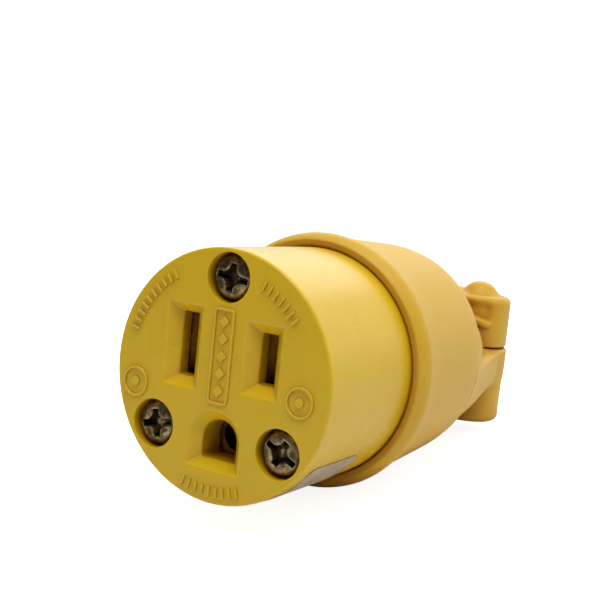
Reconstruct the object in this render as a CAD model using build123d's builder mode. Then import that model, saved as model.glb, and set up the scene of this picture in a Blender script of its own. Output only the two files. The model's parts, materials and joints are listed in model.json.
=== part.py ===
from build123d import *
import math
import os

# 15 A / 125 V female cord connector (NEMA 5-15R pattern), in millimetres.
# Origin: centre of the mating face. +X is to the right when looking at the face,
# +Y runs from the face back towards the cord, +Z is up, and the ground hole is below the blades.

os.makedirs("parts", exist_ok=True)

# ---------------------------------------------------------------- mating face
FACE_R = 17.0               # radius of the mating face
SEAT_R = 16.76              # radius of the front body inside the shell's collar
FACE_BEVEL = 0.7            # bevel of the face's outer edge
RIM_Y = 22.7                # front edge of the shell's rim
FRONT_END_Y = 27.6          # back of the front body
BLADE_SPACING = 12.7        # NEMA 5-15 distance between the blade centres
BLADE_Z = 3.25              # height of the blade line over the body's axis
GROUND_Z = -8.65            # centre of the round ground pin
FUNNEL_DEPTH = 1.9          # depth of the lead-in around each opening
FUNNEL_HALF_WIDTH = 2.81
SLOT_HALF_WIDTH = 1.2
NEUTRAL_HALF_HEIGHT = 4.32  # the neutral slot is the longer one
HOT_HALF_HEIGHT = 3.38
NEUTRAL_FUNNEL_HALF_HEIGHT = 5.63
HOT_FUNNEL_HALF_HEIGHT = 4.86
GROUND_HALF_WIDTH = 2.72
GROUND_FLAT_Z = -11.35      # flat side of the U-shaped ground hole
GROUND_FUNNEL_HALF_WIDTH = 4.2
GROUND_FUNNEL_FLAT_Z = -12.5

# ---------------------------------------------------------------- contact cavities
CAVITY_Y = 3.6              # front of the blade cavities
CAVITY_HALF_WIDTH = 2.6
CAVITY_HALF_HEIGHT = 5.5
GROUND_CAVITY_Y = 5.8
GROUND_CAVITY_R = 3.9
TAIL_CAVITY_Y = 18.0        # the ground cavity widens here for the flat tail
TAIL_SIDE_CLEARANCE = 0.3
TAIL_FACE_CLEARANCE = 0.4

# ---------------------------------------------------------------- screws, all 6-32 UNC
SHANK_R = 1.75
THREAD_BORE_R = 1.79        # inserts and terminal plates
HOLE_R = 1.83               # free holes around a shank
HEAD_R = 2.9
TIP_CHAMFER = 0.4
SLOT_WIDTH = 0.9
SLOT_SPAN = 1.7             # length of the recess's long slot, in head radii
CROSS_SPAN = 1.25           # length of its short slot
RECESS_SQUARE = 2.1         # side of the square at the recess's centre
RECESS_DEPTH = 0.5          # of the head's height
RECESS_TAPER = 14.0
MACHINE_HEAD_ROUND = 0.7

# ---------------------------------------------------------------- face screws
SCREW_TOP = (0.0, 13.1)
SCREW_LEFT = (-10.05, -8.22)
SCREW_RIGHT = (10.05, -8.22)
COUNTERBORE_R = 3.31
FACE_SCREW_SEAT_Y = 3.5
FACE_HEAD_HEIGHT = 2.6
FACE_SCREW_LENGTH = 34.9    # under the head
RETAINER_POCKET_Y = 15.5
RETAINER_POCKET_R = 2.75
RETAINER_R = 2.6
RETAINER_Y = 26.3           # front of the captive washer with the screw home
RETAINER_THICKNESS = 0.9
HEAD_TURNS = {"top": -8.0, "left": 12.0, "right": -27.0}

# ---------------------------------------------------------------- terminals
TERMINAL_Y = 34.1           # centre of the terminal screws along the body
INSULATOR_R = 14.5
INSULATOR_END_Y = 41.0
POCKET_LENGTH = 10.6
POCKET_WIDTH = 8.4
POCKET_DEPTH = 3.9          # how far a pocket reaches inside the wire face
PLATE_GAP = 0.4
PLATE_THICKNESS = 1.1
PLATE_LENGTH = 7.4
PLATE_WIDTH = 7.0
PLATE_CORNER_R = 0.6
PLATE_CHAMFER = 0.2
TERMINAL_HEAD_R = 3.2
TERMINAL_HEAD_HEIGHT = 1.9
TERMINAL_HEAD_ROUND = 0.6
TERMINAL_TURN = 20.0
TERMINAL_SCREW_LENGTH = 4.9
STRIP = 0.9                 # thickness of the contact strips
BLADE_WIRE_X = 7.0          # wire face of the blade contacts' tails
GROUND_WIRE_Z = -6.25       # wire face of the ground contact's tail
TAIL_HALF_HEIGHT = 3.9
GROUND_TAIL_HALF_WIDTH = 3.6
TAIL_END_Y = 39.0
LEAF_START_Y = 4.6          # mouth of the folded blade contact
LEAF_PINCH_Y = 7.2          # where its leaves come closest
LEAF_END_Y = 17.6
LEAF_MOUTH = (1.75, 2.45)   # inner and outer distance from the blade's centre, at each station
LEAF_PINCH = (0.7, 1.5)
LEAF_ROOT = (0.95, 1.75)
SLEEVE_Y = 6.4              # split sleeve for the ground pin
SLEEVE_END_Y = 17.0
SLEEVE_R = 3.3
SLEEVE_BORE_R = 2.4
SLEEVE_SLIT = 0.8
NECK_HALF_WIDTH = 1.8
NECK_START_Y = 15.5
TAIL_START_Y = 19.0
PEG_R = 1.2
PEG_LENGTH = 2.4
PEG_SIDE_CLEARANCE = 0.05
PEG_END_CLEARANCE = 0.2
TAIL_SLOT_LENGTH = 3.0      # slots that let the tails into the pockets
TAIL_SLOT_OFFSET = 0.6
TAIL_SLOT_CLEARANCE = 0.06
WIRE_ENTRY_LENGTH = 4.0
WIRE_ENTRY_WIDTH = 5.0
WIRE_ENTRY_HEIGHT = 3.3
PEGS = ((-7.0, 10.8), (7.0, 10.8))
NOTCH_R = 3.75              # room in the insulator for the shell's bosses

# ---------------------------------------------------------------- shell
COLLAR_R = 16.85
LEDGE_Y = 27.7              # step that the front body seats on
BEAD_POINTS = ((18.0, RIM_Y), (18.9, 24.7), (18.3, 27.5))       # radius and y, front rim bead
SHOULDER_POINTS = ((17.0, 46.2), (16.72, 47.4), (16.1, 48.8))
CONE_END_Y = 62.6
CONE_END_R = 10.35
INNER_WALL = ((15.7, LEDGE_Y), (14.7, 46.0), (13.7, 49.0), (8.7, 59.4))
BORE_START_Y = 61.2
BORE_OVERRUN = 0.5          # cuts this far past the cone's end
BORE_R = 4.6                # cord bore through the cone's end
BOSS_R = 3.3
BOSS_END_Y = 43.0
INSERT_R = 2.4
SHELL_INSERT_Y = 29.0
SHELL_INSERT_LENGTH = 9.0
BLIND_BORE_R = 1.95
BLIND_BORE_END_Y = 41.0

# ---------------------------------------------------------------- cord clamp
EAR_X = 6.4
EAR_Y = 68.6
EAR_R = 5.4
EAR_BOTTOM_Z = -13.0
EAR_ROUND = 1.0
CORD_R = 4.2                # half the 8.4 mm cord that the clamp closes on
TROUGH_Z = -7.2
FAIRING_START_Y = 55.0      # the fairing leaves the cone here
FAIRING_START_R = 13.35
FAIRING_MIDDLE_Y = 61.5
FAIRING_MIDDLE = (12.1, 8.7)                # half width and half height
FAIRING_POWERS = (2.0, 3.6, 4.8)            # from an ellipse to a rounded rectangle
FAIRING_POINTS = 24
EAR_INSET = 0.02            # keeps the fairing's end just inside the ears
CLAMP_SEAT_Z = -10.2
CLAMP_HEAD_HEIGHT = 2.2
CLAMP_COUNTERBORE_R = 3.25
CLAMP_SCREW_LENGTH = 19.05
CLAMP_TURN = 35.0
SADDLE_GAP = 0.3
SADDLE_CROWN_Z = 9.3
SADDLE_CROWN_R = 46.0
SADDLE_ROUND = 0.8
DOME_R = 2.95
DOME_TOP_Z = 11.1
DOME_ROUND = 1.9
CLAMP_INSERT_Z = 2.6
CLAMP_INSERT_LENGTH = 5.0
CLAMP_INSERT_R = 2.3
DOME_BORE_TOP_Z = 9.6

# ---------------------------------------------------------------- label
LABEL_FRONT_Y = 3.0
LABEL_BACK_Y = 15.5
LABEL_TOP_DROP = 35.0       # degrees from +X down to the label's upper edge
LABEL_SWEEP = 41.0
LABEL_THICKNESS = 0.12
LABEL_STANDOFF = 0.01

screw_points = {"top": SCREW_TOP, "left": SCREW_LEFT, "right": SCREW_RIGHT}
blade_x = BLADE_SPACING / 2


def station(y):
    """The cross-section plane y behind the mating face, facing the front: local x is X, local y is Z."""
    return Plane.XZ.offset(-y)


def finish(part, name):
    """Labels one finished piece and writes its STEP file."""
    part.label = name
    export_step(part, f"parts/{name}.step")


def front_radius(y):
    """Radius of the front body's slightly tapered side at y."""
    return FACE_R + (SEAT_R - FACE_R) * min(y / RIM_Y, 1.0)


def arched_outline(half_width, arch_z, flat_z):
    """A U-shaped outline with its arch up."""
    with BuildSketch() as outline:
        with BuildLine():
            Polyline(
                (half_width, arch_z),
                (half_width, flat_z),
                (-half_width, flat_z),
                (-half_width, arch_z),
            )
            ThreePointArc((-half_width, arch_z), (0, arch_z + half_width), (half_width, arch_z))
        make_face()
    return outline.sketch


# ================================================================ front body
# name, centre x, slot half height, funnel half height
slots = (
    ("neutral", -blade_x, NEUTRAL_HALF_HEIGHT, NEUTRAL_FUNNEL_HALF_HEIGHT),
    ("hot", blade_x, HOT_HALF_HEIGHT, HOT_FUNNEL_HALF_HEIGHT),
)

with BuildPart() as front_body:
    with BuildSketch(Plane.XY):
        with BuildLine():
            Polyline(
                (0, 0),
                (FACE_R, 0),
                (SEAT_R, RIM_Y),
                (SEAT_R, FRONT_END_Y),
                (0, FRONT_END_Y),
                close=True,
            )
        make_face()
    revolve(axis=Axis.Y)
    chamfer(front_body.edges().group_by(Axis.Y)[0], FACE_BEVEL)

    for _, slot_x, slot_half, funnel_half in slots:
        with BuildSketch(station(0)):
            with Locations((slot_x, BLADE_Z)):
                Rectangle(2 * FUNNEL_HALF_WIDTH, 2 * funnel_half)
        with BuildSketch(station(FUNNEL_DEPTH)):
            with Locations((slot_x, BLADE_Z)):
                Rectangle(2 * SLOT_HALF_WIDTH, 2 * slot_half)
        loft(ruled=True, mode=Mode.SUBTRACT)
        with BuildSketch(station(FUNNEL_DEPTH)):
            with Locations((slot_x, BLADE_Z)):
                Rectangle(2 * SLOT_HALF_WIDTH, 2 * slot_half)
        extrude(amount=FUNNEL_DEPTH - CAVITY_Y, mode=Mode.SUBTRACT)
        with BuildSketch(station(CAVITY_Y)):
            with Locations((slot_x, BLADE_Z)):
                Rectangle(2 * CAVITY_HALF_WIDTH, 2 * CAVITY_HALF_HEIGHT)
        extrude(amount=CAVITY_Y - FRONT_END_Y, mode=Mode.SUBTRACT)

    with BuildSketch(station(0)):
        add(arched_outline(GROUND_FUNNEL_HALF_WIDTH, GROUND_Z, GROUND_FUNNEL_FLAT_Z))
    with BuildSketch(station(FUNNEL_DEPTH)):
        add(arched_outline(GROUND_HALF_WIDTH, GROUND_Z, GROUND_FLAT_Z))
    loft(ruled=True, mode=Mode.SUBTRACT)
    with BuildSketch(station(FUNNEL_DEPTH)):
        add(arched_outline(GROUND_HALF_WIDTH, GROUND_Z, GROUND_FLAT_Z))
    extrude(amount=FUNNEL_DEPTH - GROUND_CAVITY_Y, mode=Mode.SUBTRACT)
    with BuildSketch(station(GROUND_CAVITY_Y)):
        with Locations((0, GROUND_Z)):
            Circle(GROUND_CAVITY_R)
    extrude(amount=GROUND_CAVITY_Y - FRONT_END_Y, mode=Mode.SUBTRACT)
    with BuildSketch(station(TAIL_CAVITY_Y)):
        with Locations((0, GROUND_WIRE_Z + STRIP / 2)):
            Rectangle(
                2 * (GROUND_TAIL_HALF_WIDTH + TAIL_SIDE_CLEARANCE), STRIP + 2 * TAIL_FACE_CLEARANCE
            )
    extrude(amount=TAIL_CAVITY_Y - FRONT_END_Y, mode=Mode.SUBTRACT)

    with BuildSketch(station(0)):
        with Locations(*screw_points.values()):
            Circle(COUNTERBORE_R)
    extrude(amount=-FACE_SCREW_SEAT_Y, mode=Mode.SUBTRACT)
    with BuildSketch(station(FACE_SCREW_SEAT_Y)):
        with Locations(*screw_points.values()):
            Circle(HOLE_R)
    extrude(amount=FACE_SCREW_SEAT_Y - RETAINER_POCKET_Y, mode=Mode.SUBTRACT)
    with BuildSketch(station(RETAINER_POCKET_Y)):
        with Locations(*screw_points.values()):
            Circle(RETAINER_POCKET_R)
    extrude(amount=RETAINER_POCKET_Y - FRONT_END_Y, mode=Mode.SUBTRACT)
    with BuildSketch(station(FRONT_END_Y)):
        with Locations(*PEGS):
            Circle(PEG_R + PEG_SIDE_CLEARANCE)
    extrude(amount=PEG_LENGTH + PEG_END_CLEARANCE, mode=Mode.SUBTRACT)
finish(front_body.part, "front_body")


# ================================================================ blank label on the front body's side
with BuildPart() as rating_label:
    with BuildSketch(Plane.XY):
        with BuildLine():
            front_r = front_radius(LABEL_FRONT_Y) + LABEL_STANDOFF
            back_r = front_radius(LABEL_BACK_Y) + LABEL_STANDOFF
            Polyline(
                (front_r, LABEL_FRONT_Y),
                (front_r + LABEL_THICKNESS, LABEL_FRONT_Y),
                (back_r + LABEL_THICKNESS, LABEL_BACK_Y),
                (back_r, LABEL_BACK_Y),
                close=True,
            )
        make_face()
    revolve(axis=Axis.Y, revolution_arc=LABEL_SWEEP)
finish(rating_label.part.rotate(Axis.Y, LABEL_TOP_DROP), "rating_label")


# ================================================================ terminals
# Each terminal has a plane on the wire face of its tail: local x is +Y and it faces outwards.
terminal_planes = {
    "neutral": Plane(origin=(-BLADE_WIRE_X, TERMINAL_Y, BLADE_Z), x_dir=(0, 1, 0), z_dir=(-1, 0, 0)),
    "hot": Plane(origin=(BLADE_WIRE_X, TERMINAL_Y, BLADE_Z), x_dir=(0, 1, 0), z_dir=(1, 0, 0)),
    "ground": Plane(origin=(0, TERMINAL_Y, GROUND_WIRE_Z), x_dir=(0, 1, 0), z_dir=(0, 0, -1)),
}


def blade_contact(side, plane):
    """A folded spring clip for one flat blade, with a tail that is the terminal plate. side is -1 or 1."""
    leaf = (
        (LEAF_MOUTH[0], LEAF_START_Y),
        (LEAF_PINCH[0], LEAF_PINCH_Y),
        (LEAF_ROOT[0], LEAF_END_Y),
        (LEAF_ROOT[1], LEAF_END_Y),
        (LEAF_PINCH[1], LEAF_PINCH_Y),
        (LEAF_MOUTH[1], LEAF_START_Y),
    )
    with BuildPart() as contact:
        with BuildSketch(Plane.XY.offset(BLADE_Z - TAIL_HALF_HEIGHT)):
            for leaf_side in (-1, 1):
                with BuildLine():
                    Polyline(
                        *[(side * blade_x + leaf_side * across, along) for across, along in leaf],
                        close=True,
                    )
                make_face()
            with Locations((side * blade_x, LEAF_END_Y)):
                Rectangle(2 * LEAF_ROOT[1], STRIP)
            with Locations((side * (BLADE_WIRE_X - STRIP / 2), (LEAF_END_Y + TAIL_END_Y) / 2)):
                Rectangle(STRIP, TAIL_END_Y - LEAF_END_Y)
        extrude(amount=2 * TAIL_HALF_HEIGHT)
        with BuildSketch(plane):
            Circle(THREAD_BORE_R)
        extrude(amount=-STRIP, mode=Mode.SUBTRACT)
    return contact.part


finish(blade_contact(-1, terminal_planes["neutral"]), "neutral_contact")
finish(blade_contact(1, terminal_planes["hot"]), "hot_contact")

with BuildPart() as ground_contact:
    with BuildSketch(station(SLEEVE_Y)):
        with Locations((0, GROUND_Z)):
            Circle(SLEEVE_R)
            Circle(SLEEVE_BORE_R, mode=Mode.SUBTRACT)
        with Locations((0, GROUND_Z - SLEEVE_R)):
            Rectangle(SLEEVE_SLIT, 2 * (SLEEVE_R - SLEEVE_BORE_R) + STRIP, mode=Mode.SUBTRACT)
    extrude(amount=SLEEVE_Y - SLEEVE_END_Y)
    with BuildSketch(Plane.XY.offset(GROUND_WIRE_Z)):
        with Locations((0, (NECK_START_Y + TAIL_START_Y) / 2)):
            Rectangle(2 * NECK_HALF_WIDTH, TAIL_START_Y - NECK_START_Y)
        with Locations((0, (TAIL_START_Y + TAIL_END_Y) / 2)):
            Rectangle(2 * GROUND_TAIL_HALF_WIDTH, TAIL_END_Y - TAIL_START_Y)
    extrude(amount=STRIP)
    with BuildSketch(terminal_planes["ground"]):
        Circle(THREAD_BORE_R)
    extrude(amount=-STRIP, mode=Mode.SUBTRACT)
finish(ground_contact.part, "ground_contact")


def pressure_plate(plane):
    """A square clamp plate that the terminal screw carries, over the wire face."""
    with BuildPart() as plate:
        with BuildSketch(plane.offset(PLATE_GAP)):
            RectangleRounded(PLATE_LENGTH, PLATE_WIDTH, PLATE_CORNER_R)
            Circle(HOLE_R, mode=Mode.SUBTRACT)
        extrude(amount=PLATE_THICKNESS)
        parallel = Plane(plane.origin, z_dir=plane.z_dir)
        chamfer(plate.edges().filter_by(GeomType.LINE).filter_by(parallel), PLATE_CHAMFER)
    return plate.part


def recessed_screw(seat, head_r, head_height, length, crown, turn):
    """A pan screw with a combined cross and slot recess. The seat plane faces out of the head."""
    with BuildPart() as screw:
        with BuildSketch(seat):
            Circle(head_r)
        extrude(amount=head_height)
        head_rim = screw.faces().filter_by(Plane(seat.origin, z_dir=seat.z_dir)).sort_by(
            lambda face: (face.center() - seat.origin).dot(seat.z_dir)
        )[-1]
        fillet(head_rim.edges(), crown)
        with BuildSketch(seat):
            Circle(SHANK_R)
        extrude(amount=-length)
        tip = screw.faces().filter_by(Plane(seat.origin, z_dir=seat.z_dir)).sort_by(
            lambda face: (face.center() - seat.origin).dot(seat.z_dir)
        )[0]
        chamfer(tip.edges(), TIP_CHAMFER)
        with BuildSketch(seat.offset(head_height)):
            Rectangle(SLOT_SPAN * head_r, SLOT_WIDTH, rotation=turn)
            Rectangle(SLOT_WIDTH, CROSS_SPAN * head_r, rotation=turn)
            Rectangle(RECESS_SQUARE, RECESS_SQUARE, rotation=turn + 45)
        extrude(amount=-RECESS_DEPTH * head_height, taper=RECESS_TAPER, mode=Mode.SUBTRACT)
    return screw.part


for name, plane in terminal_planes.items():
    finish(pressure_plate(plane), f"{name}_pressure_plate")
    terminal_seat = plane.offset(PLATE_GAP + PLATE_THICKNESS)
    finish(
        recessed_screw(
            terminal_seat,
            TERMINAL_HEAD_R,
            TERMINAL_HEAD_HEIGHT,
            TERMINAL_SCREW_LENGTH,
            TERMINAL_HEAD_ROUND,
            TERMINAL_TURN,
        ),
        f"{name}_terminal_screw",
    )


# ================================================================ rear insulator
with BuildPart() as rear_insulator:
    with BuildSketch(station(FRONT_END_Y)):
        Circle(INSULATOR_R)
        with Locations(*screw_points.values()):
            Circle(NOTCH_R, mode=Mode.SUBTRACT)
    extrude(amount=FRONT_END_Y - INSULATOR_END_Y)
    with BuildSketch(station(FRONT_END_Y)):
        with Locations(*PEGS):
            Circle(PEG_R)
    extrude(amount=PEG_LENGTH)
    for plane in terminal_planes.values():
        # side pocket for the plate and the screw
        with BuildSketch(plane.offset(-POCKET_DEPTH)):
            Rectangle(POCKET_LENGTH, POCKET_WIDTH)
        extrude(amount=POCKET_DEPTH + INSULATOR_R, mode=Mode.SUBTRACT)
        # slot for the tail through the front wall
        with BuildSketch(plane.offset(-STRIP - TAIL_SLOT_CLEARANCE)):
            with Locations((-POCKET_LENGTH / 2 - TAIL_SLOT_OFFSET, 0)):
                Rectangle(TAIL_SLOT_LENGTH, 2 * (TAIL_HALF_HEIGHT + TAIL_SLOT_CLEARANCE))
        extrude(amount=STRIP + 2 * TAIL_SLOT_CLEARANCE, mode=Mode.SUBTRACT)
        # wire entry through the back wall
        with BuildSketch(plane.offset(-TAIL_SLOT_CLEARANCE)):
            with Locations(((POCKET_LENGTH + WIRE_ENTRY_LENGTH) / 2 - TAIL_SLOT_OFFSET, 0)):
                Rectangle(WIRE_ENTRY_LENGTH, WIRE_ENTRY_WIDTH)
        extrude(amount=WIRE_ENTRY_HEIGHT, mode=Mode.SUBTRACT)
finish(rear_insulator.part, "rear_insulator")


# ================================================================ face screws and their captive washers
for name, (screw_x, screw_z) in screw_points.items():
    seat = Plane(origin=(screw_x, FACE_SCREW_SEAT_Y, screw_z), x_dir=(1, 0, 0), z_dir=(0, -1, 0))
    finish(
        recessed_screw(
            seat, HEAD_R, FACE_HEAD_HEIGHT, FACE_SCREW_LENGTH, MACHINE_HEAD_ROUND, HEAD_TURNS[name]
        ),
        f"face_screw_{name}",
    )
    with BuildPart() as retainer:
        with BuildSketch(station(RETAINER_Y)):
            with Locations((screw_x, screw_z)):
                Circle(RETAINER_R)
                Circle(HOLE_R, mode=Mode.SUBTRACT)
        extrude(amount=-RETAINER_THICKNESS)
    finish(retainer.part, f"screw_retainer_{name}")


# ================================================================ rear shell
def fairing_outline(half_width, half_height, power):
    """A closed outline between an ellipse (power 2) and a rounded rectangle."""
    points = []
    for step in range(FAIRING_POINTS):
        angle = 2 * math.pi * step / FAIRING_POINTS
        across, up = math.cos(angle), math.sin(angle)
        points.append(
            (
                half_width * math.copysign(abs(across) ** (2 / power), across),
                half_height * math.copysign(abs(up) ** (2 / power), up),
            )
        )
    with BuildSketch() as outline:
        with BuildLine():
            Spline(*points, periodic=True)
        make_face()
    return outline.sketch


ears = ((-EAR_X, EAR_Y), (EAR_X, EAR_Y))

with BuildPart() as fairing:
    with BuildSketch(station(FAIRING_START_Y)):
        add(fairing_outline(FAIRING_START_R, FAIRING_START_R, FAIRING_POWERS[0]))
    with BuildSketch(station(FAIRING_MIDDLE_Y)):
        add(fairing_outline(*FAIRING_MIDDLE, FAIRING_POWERS[1]))
    with BuildSketch(station(EAR_Y)):
        add(fairing_outline(EAR_X + EAR_R - EAR_INSET, -TROUGH_Z, FAIRING_POWERS[2]))
    loft()
    split(bisect_by=Plane.XY, keep=Keep.BOTTOM)

with BuildPart() as rear_shell:
    with BuildSketch(Plane.XY):
        with BuildLine():
            Polyline((0, CONE_END_Y), (0, RIM_Y), BEAD_POINTS[0])
            ThreePointArc(*BEAD_POINTS)
            Line(BEAD_POINTS[-1], SHOULDER_POINTS[0])
            ThreePointArc(*SHOULDER_POINTS)
            Polyline(SHOULDER_POINTS[-1], (CONE_END_R, CONE_END_Y), (0, CONE_END_Y))
        make_face()
    revolve(axis=Axis.Y)
    add(fairing.part)
    # lower jaw: a trough between two vertical screw bosses
    with BuildSketch(Plane.XY.offset(EAR_BOTTOM_Z)):
        with Locations(*ears):
            Circle(EAR_R)
    extrude(amount=-EAR_BOTTOM_Z)
    ear_edges = rear_shell.edges().filter_by(GeomType.CIRCLE).filter_by_position(
        Axis.Z, EAR_BOTTOM_Z - 0.1, EAR_BOTTOM_Z + 0.1
    )
    fillet(ear_edges, EAR_ROUND)
    with BuildSketch(Plane.XY.offset(TROUGH_Z)):
        with Locations((0, EAR_Y)):
            Rectangle(2 * EAR_X, 2 * EAR_R)
    extrude(amount=-TROUGH_Z)
    # inside of the shell, from the collar to the cord bore
    with BuildSketch(Plane.XY):
        with BuildLine():
            Polyline(
                (0, RIM_Y),
                (COLLAR_R, RIM_Y),
                (COLLAR_R, LEDGE_Y),
                *INNER_WALL,
                (BORE_R, BORE_START_Y),
                (BORE_R, CONE_END_Y + BORE_OVERRUN),
                (0, CONE_END_Y + BORE_OVERRUN),
                close=True,
            )
        make_face()
    revolve(axis=Axis.Y, mode=Mode.SUBTRACT)
    with BuildSketch(station(CONE_END_Y)):
        Circle(CORD_R)
    extrude(amount=CONE_END_Y - EAR_Y - 2 * EAR_R, mode=Mode.SUBTRACT)
    # bosses for the face screws
    with BuildSketch(station(LEDGE_Y)):
        with Locations(*screw_points.values()):
            Circle(BOSS_R)
    extrude(amount=LEDGE_Y - BOSS_END_Y)
    with BuildSketch(station(LEDGE_Y)):
        with Locations(*screw_points.values()):
            Circle(BLIND_BORE_R)
    extrude(amount=LEDGE_Y - BLIND_BORE_END_Y, mode=Mode.SUBTRACT)
    with BuildSketch(station(LEDGE_Y)):
        with Locations(*screw_points.values()):
            Circle(INSERT_R)
    extrude(amount=LEDGE_Y - SHELL_INSERT_Y - SHELL_INSERT_LENGTH, mode=Mode.SUBTRACT)
    # clamp screw holes with recessed heads underneath
    with BuildSketch(Plane.XY.offset(EAR_BOTTOM_Z)):
        with Locations(*ears):
            Circle(CLAMP_COUNTERBORE_R)
    extrude(amount=CLAMP_SEAT_Z - EAR_BOTTOM_Z, mode=Mode.SUBTRACT)
    with BuildSketch(Plane.XY.offset(CLAMP_SEAT_Z)):
        with Locations(*ears):
            Circle(HOLE_R)
    extrude(amount=-CLAMP_SEAT_Z, mode=Mode.SUBTRACT)
finish(rear_shell.part, "rear_shell")

for name, point in screw_points.items():
    with BuildPart() as insert:
        with BuildSketch(station(SHELL_INSERT_Y)):
            with Locations(point):
                Circle(INSERT_R)
                Circle(THREAD_BORE_R, mode=Mode.SUBTRACT)
        extrude(amount=-SHELL_INSERT_LENGTH)
    finish(insert.part, f"shell_insert_{name}")


# ================================================================ cord clamp saddle
with BuildPart() as clamp_saddle:
    with BuildSketch(Plane.XY.offset(SADDLE_GAP)):
        with Locations((0, EAR_Y)):
            Rectangle(2 * EAR_X, 2 * EAR_R)
        with Locations(*ears):
            Circle(EAR_R)
    extrude(amount=SADDLE_CROWN_Z)
    with BuildSketch(station(EAR_Y - 2 * EAR_R)):
        with Locations((0, SADDLE_CROWN_Z - SADDLE_CROWN_R)):
            Circle(SADDLE_CROWN_R)
    extrude(amount=-4 * EAR_R, mode=Mode.INTERSECT)
    fillet(clamp_saddle.faces().filter_by(GeomType.CYLINDER).sort_by(Axis.Z)[-1].edges(), SADDLE_ROUND)
    with BuildSketch(Plane.XY.offset(CLAMP_INSERT_Z)):
        with Locations(*ears):
            Circle(DOME_R)
    extrude(amount=DOME_TOP_Z - CLAMP_INSERT_Z)
    fillet(clamp_saddle.edges().group_by(Axis.Z)[-1], DOME_ROUND)
    with BuildSketch(station(EAR_Y - EAR_R)):
        Circle(CORD_R)
    extrude(amount=-2 * EAR_R, mode=Mode.SUBTRACT)
    with BuildSketch(Plane.XY.offset(SADDLE_GAP)):
        with Locations(*ears):
            Circle(CLAMP_INSERT_R)
    extrude(amount=CLAMP_INSERT_Z + CLAMP_INSERT_LENGTH - SADDLE_GAP, mode=Mode.SUBTRACT)
    with BuildSketch(Plane.XY.offset(SADDLE_GAP)):
        with Locations(*ears):
            Circle(BLIND_BORE_R)
    extrude(amount=DOME_BORE_TOP_Z - SADDLE_GAP, mode=Mode.SUBTRACT)
finish(clamp_saddle.part, "clamp_saddle")

for name, (ear_x, ear_y) in zip(("left", "right"), ears):
    with BuildPart() as insert:
        with BuildSketch(Plane.XY.offset(CLAMP_INSERT_Z)):
            with Locations((ear_x, ear_y)):
                Circle(CLAMP_INSERT_R)
                Circle(THREAD_BORE_R, mode=Mode.SUBTRACT)
        extrude(amount=CLAMP_INSERT_LENGTH)
    finish(insert.part, f"clamp_insert_{name}")
    clamp_seat = Plane(origin=(ear_x, ear_y, CLAMP_SEAT_Z), x_dir=(1, 0, 0), z_dir=(0, 0, -1))
    finish(
        recessed_screw(
            clamp_seat, HEAD_R, CLAMP_HEAD_HEIGHT, CLAMP_SCREW_LENGTH, MACHINE_HEAD_ROUND, CLAMP_TURN
        ),
        f"clamp_screw_{name}",
    )
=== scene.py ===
import bpy
import bmesh
import json
import math
import numpy as np
import openvdb
from mathutils import Matrix, Vector
from mathutils.geometry import delaunay_2d_cdt


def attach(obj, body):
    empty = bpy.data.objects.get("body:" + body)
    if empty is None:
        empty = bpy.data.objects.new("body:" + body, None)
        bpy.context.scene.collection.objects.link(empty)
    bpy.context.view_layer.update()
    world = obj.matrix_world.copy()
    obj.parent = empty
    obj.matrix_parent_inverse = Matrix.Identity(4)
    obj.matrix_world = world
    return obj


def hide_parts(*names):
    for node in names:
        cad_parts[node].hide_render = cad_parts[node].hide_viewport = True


# Looks of a yellow 15 A cord connector: face body, screws, vinyl shell and cord clamp.
# Shapes are worked out in millimetres in the CAD frame and scaled to metres when a piece is made.

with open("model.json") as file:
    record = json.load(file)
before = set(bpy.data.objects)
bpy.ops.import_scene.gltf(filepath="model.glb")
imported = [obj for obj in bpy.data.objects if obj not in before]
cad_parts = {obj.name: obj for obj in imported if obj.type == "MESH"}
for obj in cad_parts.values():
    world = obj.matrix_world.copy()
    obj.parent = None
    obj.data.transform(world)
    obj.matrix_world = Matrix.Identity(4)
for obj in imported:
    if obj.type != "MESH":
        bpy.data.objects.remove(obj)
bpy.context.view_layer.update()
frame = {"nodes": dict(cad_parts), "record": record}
MM = 0.001


# ---------------------------------------------------------------- meshes
def piece(name, points, faces, body, material, replaces=(), normals=None, curve=None):
    """One piece from points in millimetres.

    curve is 0 where flat, up to 1 on outer edges and down to -1 in hollows.
    """
    mesh = bpy.data.meshes.new(name)
    mesh.from_pydata((np.asarray(points, float) * MM).tolist(), [], [list(map(int, f)) for f in faces])
    mesh.validate()
    mesh.update()
    mesh.polygons.foreach_set("use_smooth", [True] * len(mesh.polygons))
    tone = mesh.attributes.new("curve", "FLOAT", "POINT")
    values = np.zeros(len(mesh.vertices), np.float32) if curve is None else np.asarray(curve, np.float32)
    tone.data.foreach_set("value", values)
    if normals is not None:
        mesh.normals_split_custom_set_from_vertices(np.asarray(normals, float).tolist())
    mesh.materials.append(material)
    made = bpy.data.objects.new(name, mesh)
    bpy.context.scene.collection.objects.link(made)
    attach(made, body)
    if replaces:
        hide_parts(*replaces)
    return made


def weighted(made, angle=35.0):
    """Flat faces stay flat and narrow roundings carry the shading."""
    made.data.set_sharp_from_angle(angle=math.radians(angle))
    modifier = made.modifiers.new("weighted", "WEIGHTED_NORMAL")
    modifier.mode = "FACE_AREA"
    modifier.keep_sharp = True
    return made


# ---------------------------------------------------------------- distance fields
PULLS = 3                   # times that the points are pulled onto the surface
BEND_REACH = 0.35           # the bend of a surface is measured over this distance
FLAT_BEND = 0.1             # a bend of a large round form, which isn't an edge


def smooth_min(a, b, k):
    h = np.clip(0.5 + 0.5 * (b - a) / k, 0, 1)
    return b + (a - b) * h - k * h * (1 - h)


def smooth_max(a, b, k):
    return -smooth_min(-a, -b, k)


def rounded_pair(a, b, edge):
    """Intersection of two fields with a true rounding of radius edge."""
    a, b = a + edge, b + edge
    return np.hypot(np.maximum(a, 0), np.maximum(b, 0)) + np.minimum(np.maximum(a, b), 0) - edge


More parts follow.
